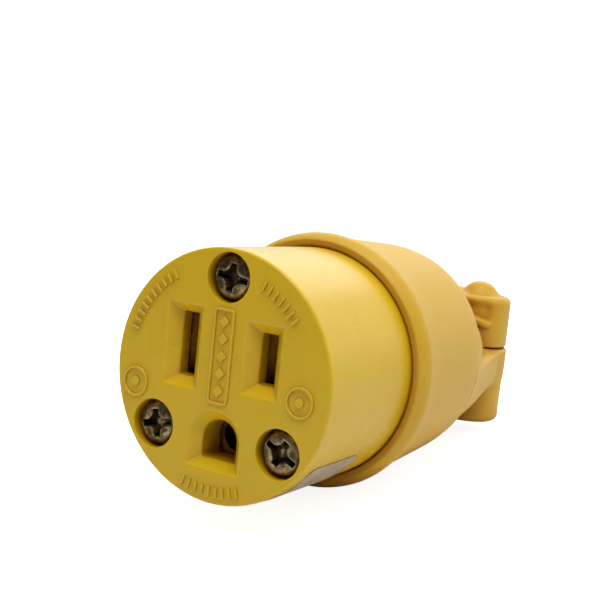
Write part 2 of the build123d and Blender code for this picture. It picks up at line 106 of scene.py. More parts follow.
def rod(radial, along, radius, low, high, edge):
    return rounded_pair(radial - radius, np.abs(along - (low + high) / 2) - (high - low) / 2, edge)


def block(x, y, z, centre, half, edge):
    q = [np.abs(v - c) - h + edge for v, c, h in zip((x, y, z), centre, half)]
    outside = np.sqrt(sum(np.maximum(v, 0) ** 2 for v in q))
    return outside + np.minimum(np.maximum(np.maximum(q[0], q[1]), q[2]), 0) - edge


def polygon(u, v, corners):
    """Signed distance to a closed polygon, negative inside."""
    nearest = np.full(u.shape, 1e9, np.float32)
    sign = np.ones(u.shape, np.float32)
    for (a0, a1), (b0, b1) in zip(corners, corners[1:] + corners[:1]):
        e0, e1 = b0 - a0, b1 - a1
        w0, w1 = u - a0, v - a1
        t = np.clip((w0 * e0 + w1 * e1) / (e0 * e0 + e1 * e1), 0, 1)
        nearest = np.minimum(nearest, (w0 - e0 * t) ** 2 + (w1 - e1 * t) ** 2)
        above, below, left = v >= a1, v < b1, e0 * w1 > e1 * w0
        flip = (above & below & left) | (~above & ~below & ~left)
        sign = np.where(flip, -sign, sign)
    return sign * np.sqrt(nearest)


def slope(field, p, reach):
    """Gradient of the field at points p."""
    g = np.empty_like(p)
    for i in range(3):
        step = np.zeros(3)
        step[i] = reach
        g[:, i] = (field(*(p + step).T) - field(*(p - step).T)) / (2 * reach)
    return g


def skin(field, low, high, step, reach=None):
    """Meshes the zero surface of field(x, y, z), then pulls every point onto it.

    Returns points, quads, normals and curve.
    """
    reach = reach or step / 2
    band = 3 * step
    low, high = np.array(low, float) - band, np.array(high, float) + band
    axes = [np.arange(a, b, step, dtype=np.float32) for a, b in zip(low, high)]
    values = field(*np.meshgrid(*axes, indexing="ij", sparse=False))
    grid = openvdb.FloatGrid(band)
    grid.copyFromArray(np.clip(values, -band, band).astype(np.float32))
    p, quads = grid.convertToQuads(isovalue=0)
    p = np.asarray(p, float) * step + low
    quads = np.asarray(quads)
    for _ in range(PULLS):
        g = slope(field, p, reach)
        steepness = np.maximum((g * g).sum(1), 0.05)
        p -= np.clip(field(*p.T) / steepness, -step, step)[:, None] * g
    n = slope(field, p, reach)
    n /= np.maximum(np.linalg.norm(n, axis=1), 1e-9)[:, None]
    a, b, c = p[quads[:, 0]], p[quads[:, 1]], p[quads[:, 2]]
    if (np.cross(b - a, c - a) * n[quads[:, 0]]).sum() < 0:
        quads = quads[:, ::-1]
    around = sum(field(*(p + side * BEND_REACH * np.eye(3)[i]).T) for i in range(3) for side in (-1, 1))
    bend = (around - 6 * field(*p.T)) / BEND_REACH**2
    return p, quads, n, np.clip(0.5 * (bend - FLAT_BEND), -1, 1)


def arc(p0, p1, p2, count):
    """Points on the circle through three points, from p0 to p2."""
    (ax, ay), (bx, by), (cx, cy) = p0, p1, p2
    d = 2 * (ax * (by - cy) + bx * (cy - ay) + cx * (ay - by))
    ux = ((ax**2 + ay**2) * (by - cy) + (bx**2 + by**2) * (cy - ay) + (cx**2 + cy**2) * (ay - by)) / d
    uy = ((ax**2 + ay**2) * (cx - bx) + (bx**2 + by**2) * (ax - cx) + (cx**2 + cy**2) * (bx - ax)) / d
    r = math.hypot(ax - ux, ay - uy)
    t0, t1, t2 = (math.atan2(y - uy, x - ux) for x, y in (p0, p1, p2))
    if (t1 - t0) * (t2 - t1) < 0:
        t2 += math.tau if t2 < t0 else -math.tau
    return [(ux + r * math.cos(t), uy + r * math.sin(t)) for t in np.linspace(t0, t2, count)]


# ---------------------------------------------------------------- materials
class Paint:
    """A node material with a Principled shader, in object coordinates."""

    def __init__(self, name, **sockets):
        self.material = bpy.data.materials.new(name)
        self.material.use_nodes = True
        self.tree = self.material.node_tree
        self.shader = self.tree.nodes["Principled BSDF"]
        for key, value in sockets.items():
            self.shader.inputs[key.replace("_", " ")].default_value = value
        self.place = self.node("ShaderNodeTexCoord").outputs["Object"]

    def node(self, kind, **settings):
        made = self.tree.nodes.new(kind)
        for key, value in settings.items():
            setattr(made, key, value)
        return made

    def link(self, source, target):
        if isinstance(source, (int, float, tuple)):
            target.default_value = source
        else:
            self.tree.links.new(source, target)

    def noise(self, scale, detail=4.0, rough=0.55, stretch=None):
        made = self.node("ShaderNodeTexNoise")
        made.inputs["Scale"].default_value = scale
        made.inputs["Detail"].default_value = detail
        made.inputs["Roughness"].default_value = rough
        place = self.place
        if stretch:
            mapping = self.node("ShaderNodeMapping")
            mapping.inputs["Scale"].default_value = stretch
            self.link(self.place, mapping.inputs["Vector"])
            place = mapping.outputs["Vector"]
        self.link(place, made.inputs["Vector"])
        return made.outputs["Fac"]

    def cells(self, scale, feature="F1"):
        made = self.node("ShaderNodeTexVoronoi", feature=feature)
        made.inputs["Scale"].default_value = scale
        self.link(self.place, made.inputs["Vector"])
        return made.outputs["Distance"]

    def shade(self, reach):
        """How open a point is, from 0 in a deep corner to 1 on an open surface."""
        made = self.node("ShaderNodeAmbientOcclusion", samples=8)
        made.inputs["Distance"].default_value = reach * MM
        return made.outputs["AO"]

    def curve(self):
        return self.node("ShaderNodeAttribute", attribute_name="curve").outputs["Fac"]

    def remap(self, value, low, high, to_low=0.0, to_high=1.0):
        made = self.node("ShaderNodeMapRange", clamp=True)
        self.link(value, made.inputs["Value"])
        for key, number in (("From Min", low), ("From Max", high), ("To Min", to_low), ("To Max", to_high)):
            made.inputs[key].default_value = number
        return made.outputs["Result"]

    def math(self, operation, a, b):
        made = self.node("ShaderNodeMath", operation=operation)
        self.link(a, made.inputs[0])
        self.link(b, made.inputs[1])
        return made.outputs["Value"]

    def mix(self, share, a, b):
        made = self.node("ShaderNodeMix", data_type="RGBA")
        self.link(share, made.inputs["Factor"])
        self.link(a if not isinstance(a, tuple) else (*a, 1.0), made.inputs[6])
        self.link(b if not isinstance(b, tuple) else (*b, 1.0), made.inputs[7])
        return made.outputs[2]

    def bump(self, *layers):
        """layers are (height, strength, distance in mm), laid one on the other."""
        below = None
        for height, strength, distance in layers:
            made = self.node("ShaderNodeBump")
            made.inputs["Strength"].default_value = strength
            made.inputs["Distance"].default_value = distance * MM
            self.link(height, made.inputs["Height"])
            if below is not None:
                self.link(below, made.inputs["Normal"])
            below = made.outputs["Normal"]
        self.link(below, self.shader.inputs["Normal"])

    def finish(self, colour, rough):
        self.link(colour, self.shader.inputs["Base Color"])
        self.link(rough, self.shader.inputs["Roughness"])
        return self.material


def nylon():
    """Glossy moulded face body: even yellow, with grime and painted shade in the hollows, painted orange
    shade where other surfaces close in, and polished edges.
    """
    p = Paint("face_nylon", Specular_IOR_Level=0.42, Subsurface_Weight=0.05, Subsurface_Scale=0.001)
    p.shader.inputs["Subsurface Radius"].default_value = (1.0, 0.55, 0.12)
    yellow, paler, polished = (0.84, 0.535, 0.008), (0.87, 0.565, 0.012), (0.90, 0.68, 0.11)
    # the first colour is grime and painted shade for the hollows; the second is painted shade for places that
    # other surfaces close in
    dirt_and_shade, deep = (0.22, 0.11, 0.01), (0.50, 0.24, 0.004)
    cloud = p.noise(70, 3)
    fine = p.noise(2400, 2)
    base = p.mix(p.remap(cloud, 0.3, 0.7), yellow, paler)
    # grime and painted shade: the hollows darken towards brown, blotched by noise, most deep inside the
    # openings
    hollow = p.remap(p.curve(), -0.08, -0.7)
    grime_and_shade = p.math("MULTIPLY", hollow, p.remap(p.noise(500, 5), 0.3, 0.6, 0.5, 1.0))
    base = p.mix(p.math("MULTIPLY", grime_and_shade, 0.8), base, dirt_and_shade)
    base = p.mix(p.remap(p.curve(), 0.15, 0.9, 0, 0.22), base, polished)
    # painted shade: deep orange wherever the occlusion node finds other surfaces within 3 mm
    base = p.mix(p.remap(p.shade(3.0), 0.95, 0.3, 0, 0.75), base, deep)
    p.bump((fine, 0.04, 0.004))
    return p.finish(base, p.remap(cloud, 0.3, 0.7, 0.26, 0.3))


def vinyl():
    """Matte flexible vinyl, with a fine skin, a faint bloom, painted shade in its creases and painted orange
    shade where other surfaces close in.
    """
    p = Paint(
        "shell_vinyl", Specular_IOR_Level=0.34, Subsurface_Weight=0.25, Subsurface_Scale=0.0018,
        Sheen_Weight=0.04, Sheen_Roughness=0.6,
    )
    p.shader.inputs["Subsurface Radius"].default_value = (1.0, 0.62, 0.2)
    amber, paler, bloomed = (0.78, 0.46, 0.022), (0.80, 0.49, 0.04), (0.85, 0.60, 0.15)
    # hollow is painted shade for the creases, rubbed is wear on outer edges, deep is painted shade for
    # closed-in places
    hollow, rubbed, deep = (0.46, 0.22, 0.008), (0.86, 0.60, 0.12), (0.50, 0.20, 0.004)
    cloud = p.noise(45, 4, 0.6)
    grain = p.noise(3200, 2, 0.5)
    base = p.mix(p.remap(cloud, 0.35, 0.68), amber, paler)
    patchy = p.remap(p.noise(40, 2), 0.4, 0.6, 0.2, 1.0)
    bloom = p.math("MULTIPLY", p.remap(p.noise(380, 6, 0.65), 0.5, 0.72), patchy)
    base = p.mix(p.math("MULTIPLY", bloom, 0.16), base, bloomed)
    # painted shade: creases darken to a saturated orange
    base = p.mix(p.remap(p.curve(), -0.06, -0.6, 0, 0.55), base, hollow)
    base = p.mix(p.remap(p.curve(), 0.25, 0.9, 0, 0.12), base, rubbed)
    # painted shade: deep orange wherever the occlusion node finds other surfaces within 7 mm
    base = p.mix(p.remap(p.shade(7.0), 0.95, 0.35, 0, 0.85), base, deep)
    rough = p.math("ADD", p.remap(cloud, 0.3, 0.7, 0.42, 0.5), p.remap(grain, 0.3, 0.7, -0.03, 0.05))
    p.bump((p.noise(180, 3), 0.2, 0.06), (grain, 0.25, 0.03))
    return p.finish(base, rough)


def worn_metal(name, dark, bright, share, rough=(0.34, 0.6), pits=900):
    """Tarnished plating: bright where it is handled, dark in the hollows."""
    p = Paint(name, Metallic=1.0)
    blotch = p.noise(650, 6, 0.6)
    rub = p.math("MULTIPLY", p.remap(p.curve(), 0.04, 0.7, 0, 0.8), p.remap(blotch, 0.36, 0.6, 0.05, 1.0))
    patch = p.math("MULTIPLY", p.remap(blotch, 0.47, 0.6), share)
    worn = p.math("MAXIMUM", rub, patch)
    tone = p.mix(worn, dark, bright)
    tone = p.mix(p.remap(p.curve(), -0.05, -0.5, 0, 0.85), tone, tuple(v * 0.25 for v in dark))
    pit = p.noise(pits, 5, 0.65)
    p.bump((pit, 0.45, 0.06), (p.noise(4200, 2), 0.15, 0.01))
    return p.finish(tone, p.remap(worn, 0, 1, rough[1], rough[0]))


def stamped(name, tone, tarnish, rough=0.3, grain=(1.0, 0.05, 1.0)):
    """Rolled or machined metal with a drawn grain and light tarnish."""
    p = Paint(name, Metallic=1.0)
    lines = p.noise(2600, 3, 0.6, grain)
    cloud = p.noise(260, 5, 0.6)
    colour = p.mix(p.remap(cloud, 0.42, 0.7, 0, 0.7), tone, tarnish)
    p.bump((lines, 0.12, 0.01), (cloud, 0.1, 0.03))
    drawn = p.remap(lines, 0.3, 0.7, rough - 0.06, rough + 0.1)
    return p.finish(colour, p.math("ADD", drawn, p.remap(cloud, 0.4, 0.7, 0, 0.12)))


def moulded(name, tone, fleck, rough, scale=900, gloss=0.5):
    """Pressed board or thermoset with flecks."""
    p = Paint(name, Specular_IOR_Level=gloss)
    specks = p.cells(scale)
    cloud = p.noise(240, 4)
    colour = p.mix(p.remap(specks, 0.0, 0.35, 0.5, 0.0), tone, fleck)
    colour = p.mix(p.remap(cloud, 0.4, 0.7, 0, 0.4), colour, tuple(v * 0.7 for v in tone))
    p.bump((p.noise(1500, 3), 0.2, 0.03), (specks, 0.08, 0.02))
    return p.finish(colour, p.remap(cloud, 0.3, 0.7, rough - 0.07, rough + 0.08))


def paper():
    """Scuffed grey label film."""
    p = Paint("label", Specular_IOR_Level=0.35)
    fibre = p.noise(1400, 6, 0.7, (1.0, 0.35, 1.0))
    smudge = p.noise(300, 4, 0.6)
    tone = p.mix(p.remap(smudge, 0.4, 0.65), (0.58, 0.46, 0.34), (0.45, 0.34, 0.23))
    tone = p.mix(p.remap(fibre, 0.5, 0.75, 0, 0.4), tone, (0.34, 0.25, 0.17))
    p.bump((fibre, 0.2, 0.02), (smudge, 0.3, 0.05))
    return p.finish(tone, p.remap(smudge, 0.3, 0.7, 0.38, 0.6))


paints = {
    "face_nylon": nylon(),
    "shell_vinyl": vinyl(),
    "label": paper(),
    "aged_screw": worn_metal("aged_screw", (0.088, 0.064, 0.032), (0.56, 0.42, 0.22), 0.9, (0.26, 0.5), 1400),
    "silver_screw": worn_metal("silver_screw", (0.50, 0.49, 0.46), (0.78, 0.77, 0.74), 0.9, (0.2, 0.32)),
    "brass_screw": worn_metal("brass_screw", (0.52, 0.33, 0.11), (0.82, 0.60, 0.26), 0.9, (0.2, 0.34)),
    "green_screw": worn_metal("green_screw", (0.03, 0.20, 0.07), (0.12, 0.42, 0.18), 0.6, (0.28, 0.42)),
    "contact_brass": stamped("contact_brass", (0.78, 0.56, 0.25), (0.50, 0.30, 0.12)),
    "insert_brass": stamped("insert_brass", (0.76, 0.55, 0.25), (0.46, 0.29, 0.12), 0.35, (1.0, 1.0, 0.06)),
    "plate_steel": stamped("plate_steel", (0.66, 0.66, 0.64), (0.44, 0.43, 0.40), 0.34),
    "fibre": moulded("fibre", (0.30, 0.06, 0.03), (0.42, 0.14, 0.08), 0.62, 1100, 0.3),
    "insulator": moulded("insulator", (0.022, 0.022, 0.024), (0.06, 0.058, 0.055), 0.36),
}
slot_of = {row["node"]: row["material_slot"] for row in frame["record"]["subparts"]}
for name, node in frame["nodes"].items():
    node.data.materials.clear()
    node.data.materials.append(paints[slot_of[name]])

# ---------------------------------------------------------------- front body
FACE_Y = 0.28               # the face lies this far behind the tops of its raised marks
FACE_R = 17.0
FRONT_BACK_R = 16.76        # the body's radius where it goes into the shell
RIM_Y = 22.7                # front edge of the shell
FRONT_END_Y = 27.6
FACE_EDGE = 0.5             # rounding of the face's outer edge
LEAD_EDGE = 0.26            # rounding of an opening's outer edge
THROAT_EDGE = 0.16          # rounding where a lead-in meets its slot
LEAD_Y = 1.9                # depth of the lead-ins
BLADE_Z = 3.25
BLADES = ((-6.35, 4.32, 5.63), (6.35, 3.38, 4.86))   # x, then half heights of the slot and its lead-in
BLADE_HALF_WIDTH = 1.2
BLADE_LEAD_HALF_WIDTH = 2.81
BLADE_CAVITY_HALF = (2.6, 5.5)
BLADE_CAVITY_Y = 3.6
GROUND_Z = -8.65
GROUND_HALF_WIDTH = 2.72
GROUND_FLAT_Z = -11.35
GROUND_LEAD_HALF_WIDTH = 4.2
GROUND_LEAD_FLAT_Z = -12.5
GROUND_CAVITY_R = 3.9
GROUND_CAVITY_Y = 5.8
TAIL_Y = 18.0               # from here the ground cavity has room for the flat tail
SCREWS = {"top": (0.0, 13.1), "left": (-10.05, -8.22), "right": (10.05, -8.22)}
COUNTERBORE_R = 3.31
SEAT_Y = 3.5                # the face screws' heads rest here
HOLE_R = 1.83
RETAINER_R = 2.75
RETAINER_Y = 15.5
PEGS = ((-7.0, 10.8), (7.0, 10.8))
PEG_HOLE_R = 1.25
PEG_HOLE_Y = 25.0
LEAD_TONES = [0.0, 0.15, 0.3, 0.4, 0.3, 0.15]         # worn outer edge of an opening
THROAT_TONES = [-0.1, -0.15, -0.2, -0.25, -0.3]       # grime and painted shade where it narrows


class Walls:
    """A closed surface of rings across Y, joined by walls and flat plates. A ring lists point numbers."""

    def __init__(self):
        self.points, self.faces, self.tones = [], [], []

    def ring(self, outline, y, tone=0.0):
        start = len(self.points)
        self.points += [(x, y, z) for x, z in outline]
        self.tones += [tone] * len(outline)
        return list(range(start, len(self.points)))

    def wall(self, a, b):
        self.faces += [(a[i - 1], a[i], b[i], b[i - 1]) for i in range(len(a))]

    def tube(self, rings):
        for a, b in zip(rings, rings[1:]):
            self.wall(a, b)
        return rings[0], rings[-1]

    def plate(self, loops):
        """Fills the flat area between loops: the first is outside, the others are holes in it."""
        flat, edges = [], []
        for loop in loops:
            start = len(flat)
            flat += loop
            edges += [(start + i, start + (i + 1) % len(loop)) for i in range(len(loop))]
        at = [Vector((self.points[i][0], self.points[i][2])) for i in flat]
        spots, _, triangles, origin, _, _ = delaunay_2d_cdt(at, edges, [], 1, 1e-7)
        a = np.array([at[i] for i, _ in edges])
        b = np.array([at[j] for _, j in edges])
        for triangle in triangles:
            u, v = sum((spots[i] for i in triangle), Vector((0, 0))) / len(triangle)
            crosses = (a[:, 1] > v) != (b[:, 1] > v)
            rise = np.where(crosses, b[:, 1] - a[:, 1], 1)
            if np.count_nonzero(crosses & (u < a[:, 0] + (v - a[:, 1]) * (b[:, 0] - a[:, 0]) / rise)) % 2:
                self.faces.append(tuple(flat[origin[i][0]] for i in triangle))


def softened(stations, radii, count=4):
    """Rounds the corners of a run of stations, which are equal-length tuples of numbers."""
    stations = np.array(stations, float)
    run = [stations[0]]
    for before, here, after, radius in zip(stations, stations[1:], stations[2:], radii):
        if not radius:
            run.append(here)
            continue
        lead = here + (before - here) * min(radius / np.abs(before - here).max(), 0.98)
        trail = here + (after - here) * min(radius / np.abs(after - here).max(), 0.49)
        for t in np.linspace(0, 1, count + 1):
            run.append(lead * (1 - t) ** 2 + here * 2 * t * (1 - t) + trail * t * t)
    return run + [stations[-1]]


def circle(x, z, radius, count=72):
    angles = [math.tau * i / count for i in range(count)]
    return [(x + radius * math.cos(a), z + radius * math.sin(a)) for a in angles]


def oblong(x, z, half_width, half_height, corner, count=6, side=5):
    """A rounded rectangle with the same number of points whatever its size."""
    points = []
    for turn, (sx, sz) in enumerate(((1, 1), (-1, 1), (-1, -1), (1, -1))):
        middle = (x + sx * (half_width - corner), z + sz * (half_height - corner))
        for i in range(count + 1):
            angle = math.pi / 2 * (turn + i / count)
            points.append((middle[0] + corner * math.cos(angle), middle[1] + corner * math.sin(angle)))
    filled = []
    for i, here in enumerate(points):
        filled.append(here)
        if (i + 1) % (count + 1) == 0:
            after = points[(i + 1) % len(points)]
            for j in range(1, side):
                filled.append(tuple(h + (a - h) * j / side for h, a in zip(here, after)))
    return filled


def arched(half_width, flat_z, corner):
    """The U outline of the ground opening, arch up."""
    arch = [math.pi * i / 28 for i in range(29)]
    points = [(half_width * math.cos(a), GROUND_Z + half_width * math.sin(a)) for a in arch]
    for sx, start in ((-1, math.pi), (1, 1.5 * math.pi)):
        middle = (sx * (half_width - corner), flat_z + corner)
        for i in range(7):
            angle = start + math.pi / 2 * i / 6
            points.append((middle[0] + corner * math.cos(angle), middle[1] + corner * math.sin(angle)))
        if sx < 0:
            left = points[-1]
            points += [(left[0] * (1 - j / 3), left[1]) for j in range(1, 6)]
    return points


def tail_room(lobed):
    """The ground cavity's circle, and the same ring with two square lobes for the flat tail."""
    radius, low, high, reach = GROUND_CAVITY_R, 2.0, 3.7, 3.9
    path = [
        (math.sqrt(radius**2 - low**2), low),
        (reach, low),
        (reach, high),
        (math.sqrt(radius**2 - high**2), high),
    ]
    first, last = math.asin(low / radius), math.asin(high / radius)
    lengths = np.cumsum([0] + [math.dist(a, b) for a, b in zip(path, path[1:])])
    shares = sorted({*np.round(np.linspace(0, 1, 7), 4), *np.round(lengths[1:3] / lengths[-1], 4)})
    lobe = []
    for share in shares:
        angle = first + (last - first) * share
        if lobed:
            lobe.append(tuple(np.interp(share * lengths[-1], lengths, [p[i] for p in path]) for i in (0, 1)))
        else:
            lobe.append((radius * math.cos(angle), radius * math.sin(angle)))
    top = [(radius * math.cos(a), radius * math.sin(a)) for a in np.linspace(last, math.pi - last, 8)[1:-1]]
    under = np.linspace(math.pi - first, math.tau + first, 48)[1:-1]
    bottom = [(radius * math.cos(a), radius * math.sin(a)) for a in under]
    return [(x, GROUND_Z + z) for x, z in lobe + top + [(-x, z) for x, z in reversed(lobe)] + bottom]


def blade_opening(w, x, slot, lead):
    """A slot with its lead-in, and the contact's cavity behind it. Returns its first and last rings."""
    run = softened(
        (
            (BLADE_LEAD_HALF_WIDTH + 0.39, lead + 0.39, 0.5, FACE_Y),
            (BLADE_LEAD_HALF_WIDTH, lead, 0.22, FACE_Y),
            (BLADE_HALF_WIDTH, slot, 0.12, LEAD_Y),
            (BLADE_HALF_WIDTH, slot, 0.12, BLADE_CAVITY_Y),
            (*BLADE_CAVITY_HALF, 0.3, BLADE_CAVITY_Y),
            (*BLADE_CAVITY_HALF, 0.3, FRONT_END_Y),
        ),
        (LEAD_EDGE, THROAT_EDGE, 0, 0),
    )
    # further in, the walls get more grime and painted shade
    tones = LEAD_TONES + THROAT_TONES + [-0.5, -0.7, -0.9]
    return w.tube([w.ring(oblong(x, BLADE_Z, *size), y, t) for (*size, y), t in zip(run, tones)])


def ground_opening(w):
    """The U-shaped hole with its lead-in, and the round cavity with room for the tail behind it."""
    run = softened(
        (
            (GROUND_LEAD_HALF_WIDTH + 0.4, GROUND_LEAD_FLAT_Z - 0.4, 0.6, FACE_Y),
            (GROUND_LEAD_HALF_WIDTH, GROUND_LEAD_FLAT_Z, 0.3, FACE_Y),
            (GROUND_HALF_WIDTH, GROUND_FLAT_Z, 0.2, LEAD_Y),
            (GROUND_HALF_WIDTH, GROUND_FLAT_Z, 0.2, GROUND_CAVITY_Y),
        ),
        (LEAD_EDGE, THROAT_EDGE),
    )
    # further in, the walls get more grime and painted shade, the cavity behind most
    tones = LEAD_TONES + THROAT_TONES + [-0.6]
    first, lip = w.tube([w.ring(arched(*size), y, t) for (*size, y), t in zip(run, tones)])
    plain, step = w.tube([w.ring(tail_room(False), y, -0.8) for y in (GROUND_CAVITY_Y, TAIL_Y)])
    w.plate([plain, lip])
    lobed, last = w.tube([w.ring(tail_room(True), y, -0.8) for y in (TAIL_Y, FRONT_END_Y)])
    w.wall(step, lobed)
    return first, last


def screw_opening(w, x, z):
    """A counterbore, the screw's hole and the washer's pocket behind it."""
    run = softened(
        (
            (COUNTERBORE_R + 0.12, FACE_Y),
            (COUNTERBORE_R, FACE_Y),
            (COUNTERBORE_R, 1.3),
            (COUNTERBORE_R, SEAT_Y),
            (HOLE_R, SEAT_Y),
            (HOLE_R, RETAINER_Y),
            (RETAINER_R, RETAINER_Y),
            (RETAINER_R, FRONT_END_Y - 0.2),
            (RETAINER_R + 0.2, FRONT_END_Y),
        ),
        (0.34, 0, 0.2, 0, 0, 0, 0),
    )
    # the counterbore's edge is worn; further in, the walls get grime and painted shade
    tones = [0.0, 0.1, 0.2, 0.25, 0.1, 0.0, -0.3] + [-0.65] * 5 + [-0.8] * 5
    return w.tube([w.ring(circle(x, z, r), y, t) for (r, y), t in zip(run, tones)])


def front_body():
    w = Walls()
    around = 256
    profile = softened(
        (
            (FACE_R - 0.4, FACE_Y),
            (FACE_R, FACE_Y),
            (FRONT_BACK_R, RIM_Y),
            (FRONT_BACK_R, FRONT_END_Y),
            (FRONT_BACK_R - 0.46, FRONT_END_Y),
        ),
        (FACE_EDGE, 0, 0.25),
        6,
    )
    tones = [0.0] + [0.45 if y < 1.0 else 0.0 for _, y in profile[1:]]
    rims = [w.tube([w.ring(circle(0, 0, r, around), y, t) for (r, y), t in zip(profile, tones)])]
    rims += [blade_opening(w, *blade) for blade in BLADES]
    rims.append(ground_opening(w))
    rims += [screw_opening(w, x, z) for x, z in SCREWS.values()]
    exits = [last for _, last in rims]
    for x, z in PEGS:
        hole = circle(x, z, PEG_HOLE_R, 40)
        # the peg holes get grime and painted shade
        end, mouth = w.tube([w.ring(hole, y, -0.4) for y in (PEG_HOLE_Y, FRONT_END_Y)])
        w.plate([end])
        exits.append(mouth)
    w.plate([first for first, _ in rims])
    w.plate(exits)
    return w


walls = front_body()
body = piece(
    "front_body_moulding", walls.points, walls.faces, "front", paints["face_nylon"],
    ("front_body",), curve=walls.tones,
)
shape = bmesh.new()
shape.from_mesh(body.data)
bmesh.ops.dissolve_degenerate(shape, edges=shape.edges, dist=1e-7)
bmesh.ops.remove_doubles(shape, verts=shape.verts, dist=1e-7)
bmesh.ops.recalc_face_normals(shape, faces=shape.faces)
shape.to_mesh(body.data)
shape.free()
weighted(body)


# ---------------------------------------------------------------- raised marks on the face, all blank
PANEL = ((0.1, 2.75), (0.95, 5.7), 0.5)               # centre, half size and corner of the framed panel
DIAMOND_STEP = 2.3
RINGS = ((-13.6, -3.0), (12.6, -1.0))
# radius, first and last angle in degrees, and number of bars
BAR_ROWS = ((15.0, 124, 163, 10), (14.0, 40, 66, 7), (15.3, 254, 287, 9))


def box_distance(across, along):
    """Plan distance to a rectangle, from the distances past its sides."""
    return np.hypot(np.maximum(across, 0), np.maximum(along, 0)) + np.minimum(np.maximum(across, along), 0)


def bar_row(x, z, radius, first, last, count):
    """Radial bars between two angles in degrees, as a plan distance."""
    angle = np.degrees(np.arctan2(z, x)) % 360
    step = (last - first) / (count - 1)
    nearest = first + step * np.clip(np.round((angle - first) / step), 0, count - 1)
    off = np.radians(angle - nearest)
    far = np.hypot(x, z)
    across, along = np.abs(far * np.sin(off)) - 0.07, np.abs(far * np.cos(off) - radius) - 0.58
    return box_distance(across, along) - 0.14


def mark_field(x, y, z):
    (panel_x, panel_z), (half_width, half_height), corner = PANEL
    panel = box_distance(np.abs(x - panel_x) - half_width, np.abs(z - panel_z) - half_height) - corner
    plan = np.abs(panel) - 0.19
    level = z - panel_z - DIAMOND_STEP * np.clip(np.round((z - panel_z) / DIAMOND_STEP), -2, 2)
    plan = np.minimum(plan, (np.abs(x - panel_x) + np.abs(level) - 0.7) / math.sqrt(2) - 0.1)
    for ring_x, ring_z in RINGS:
        far = np.hypot(x - ring_x, z - ring_z)
        plan = np.minimum(plan, np.minimum(np.abs(far - 1.9) - 0.2, far - 0.65))
    for row in BAR_ROWS:
        plan = np.minimum(plan, bar_row(x, z, *row))
    return rounded_pair(plan, np.abs(y - FACE_Y) - FACE_Y, 0.12)


points, quads, normals, bend = skin(mark_field, (-16.2, 0, -16.2), (16.2, 2 * FACE_Y, 15.5), 0.085, 0.03)
tones = np.clip(bend, 0, 1) * 0.6
piece("face_marks", points, quads, "front", paints["face_nylon"], (), normals, tones)


# ---------------------------------------------------------------- rear shell
EAR_X = 6.4                 # the clamp's two ears, each round a screw
EAR_Y = 68.6
EAR_R = 5.4
EAR_LOW_Z = -13.0
HEAD_SEAT_Z = -10.2         # the clamp screws' heads rest here
END_Y = 74.0
BEAD = ((18.0, 22.8), (18.89, 24.7), (18.3, 27.5))        # radius and y of the rim bead
SHOULDER = ((17.0, 46.2), (16.72, 47.4), (16.1, 48.8))
CONE_END_Y = 62.6
CONE_SLOPE = (10.35 - 16.1) / (62.6 - 48.8)
shell_outline = (
    [(-30.0, RIM_Y), (17.9, RIM_Y)]
    + arc(*BEAD, 12)
    + [SHOULDER[0]]
    + arc(*SHOULDER, 7)[1:]
    + [(SHOULDER[2][0] + CONE_SLOPE * 21.2, 70.0), (-30.0, 70.0)]
)
CORD_R = 4.2
cavity_outline = [
    (-30.0, 21.0), (16.85, 21.0), (16.85, 27.7), (15.7, 27.7), (14.7, 46.0), (13.7, 49.0), (8.7, 59.4),
    (4.6, 61.2), (4.6, 63.0), (CORD_R, 63.4), (CORD_R, 80.0), (-30.0, 80.0),
]


def eased(outline, first, last, spacing=0.7, rounds=14):
    """Smooths the corners of an outline between two of its corners."""
    ends = np.array(outline[first : last + 1])
    walk = np.concatenate([[0], np.cumsum(np.hypot(*np.diff(ends, axis=0).T))])
    at = np.linspace(0, walk[-1], int(walk[-1] / spacing))
    line = np.stack([np.interp(at, walk, ends[:, i]) for i in (0, 1)], axis=1)
    for _ in range(rounds):
        line[1:-1] = (line[:-2] + 2 * line[1:-1] + line[2:]) / 4
    return outline[:first] + [tuple(v) for v in line] + outline[last + 1 :]


# eased from the bead's middle to the cone's end
shell_outline = eased(shell_outline, 7, len(shell_outline) - 2)


def stadium(x, y):
    return np.hypot(np.maximum(np.abs(x) - EAR_X, 0), y - EAR_Y) - EAR_R


def squared(x, z, half_width, half_height, power):
    """A cross-section between a diamond (power 1), an ellipse (2) and a rectangle."""
    reach = (np.abs(x) / half_width) ** power + (np.abs(z) / half_height) ** power + 1e-9
    return (reach ** (1 / power) - 1) * np.minimum(half_width, half_height)


NECK_START_Y = 48.5         # here the round shell begins to change into the squarer neck
FLARE_Y = 46.8              # here the neck's sides leave the shoulder
FLARE = (16.82, -0.35, 0.0054)          # their half width: at the start, then its slope and its curve
BOSS_R, BOSS_END_Y = 3.3, 43.0


